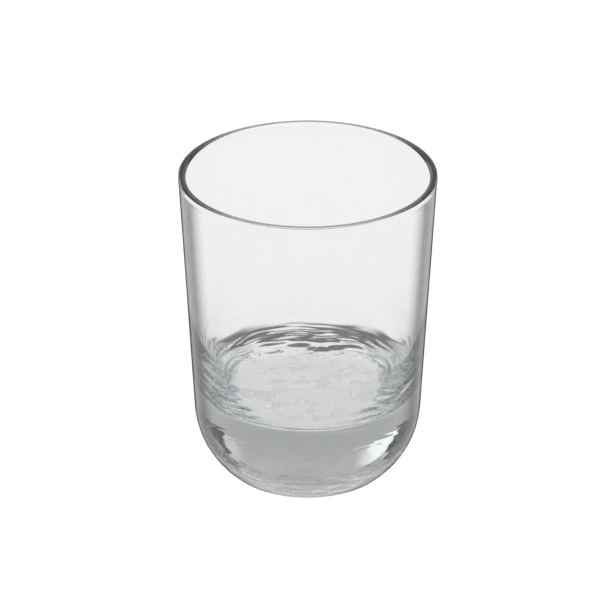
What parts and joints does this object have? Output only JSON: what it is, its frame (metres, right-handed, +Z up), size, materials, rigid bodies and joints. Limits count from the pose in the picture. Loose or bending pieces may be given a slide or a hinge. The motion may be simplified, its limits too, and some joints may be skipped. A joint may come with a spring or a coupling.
{
  "type": "whisky glass",
  "caption": "Clear heavy-based tumbler with a slightly tapered round wall, fire-polished lip, rounded heel and thick solid base, for holding a short drink.",
  "frame": {"origin": "middle of the foot, on the surface that the glass stands on", "axes": "+Z up along the axis of the glass; +X and +Y are any two square directions across it, because the form is round"},
  "size_m": [0.0798, 0.0798, 0.101],
  "materials": {
    "clear_glass": "fire polished, colourless"
  },
  "bodies": {
    "root": {"tumbler": "clear_glass"}
  },
  "joints": []
}
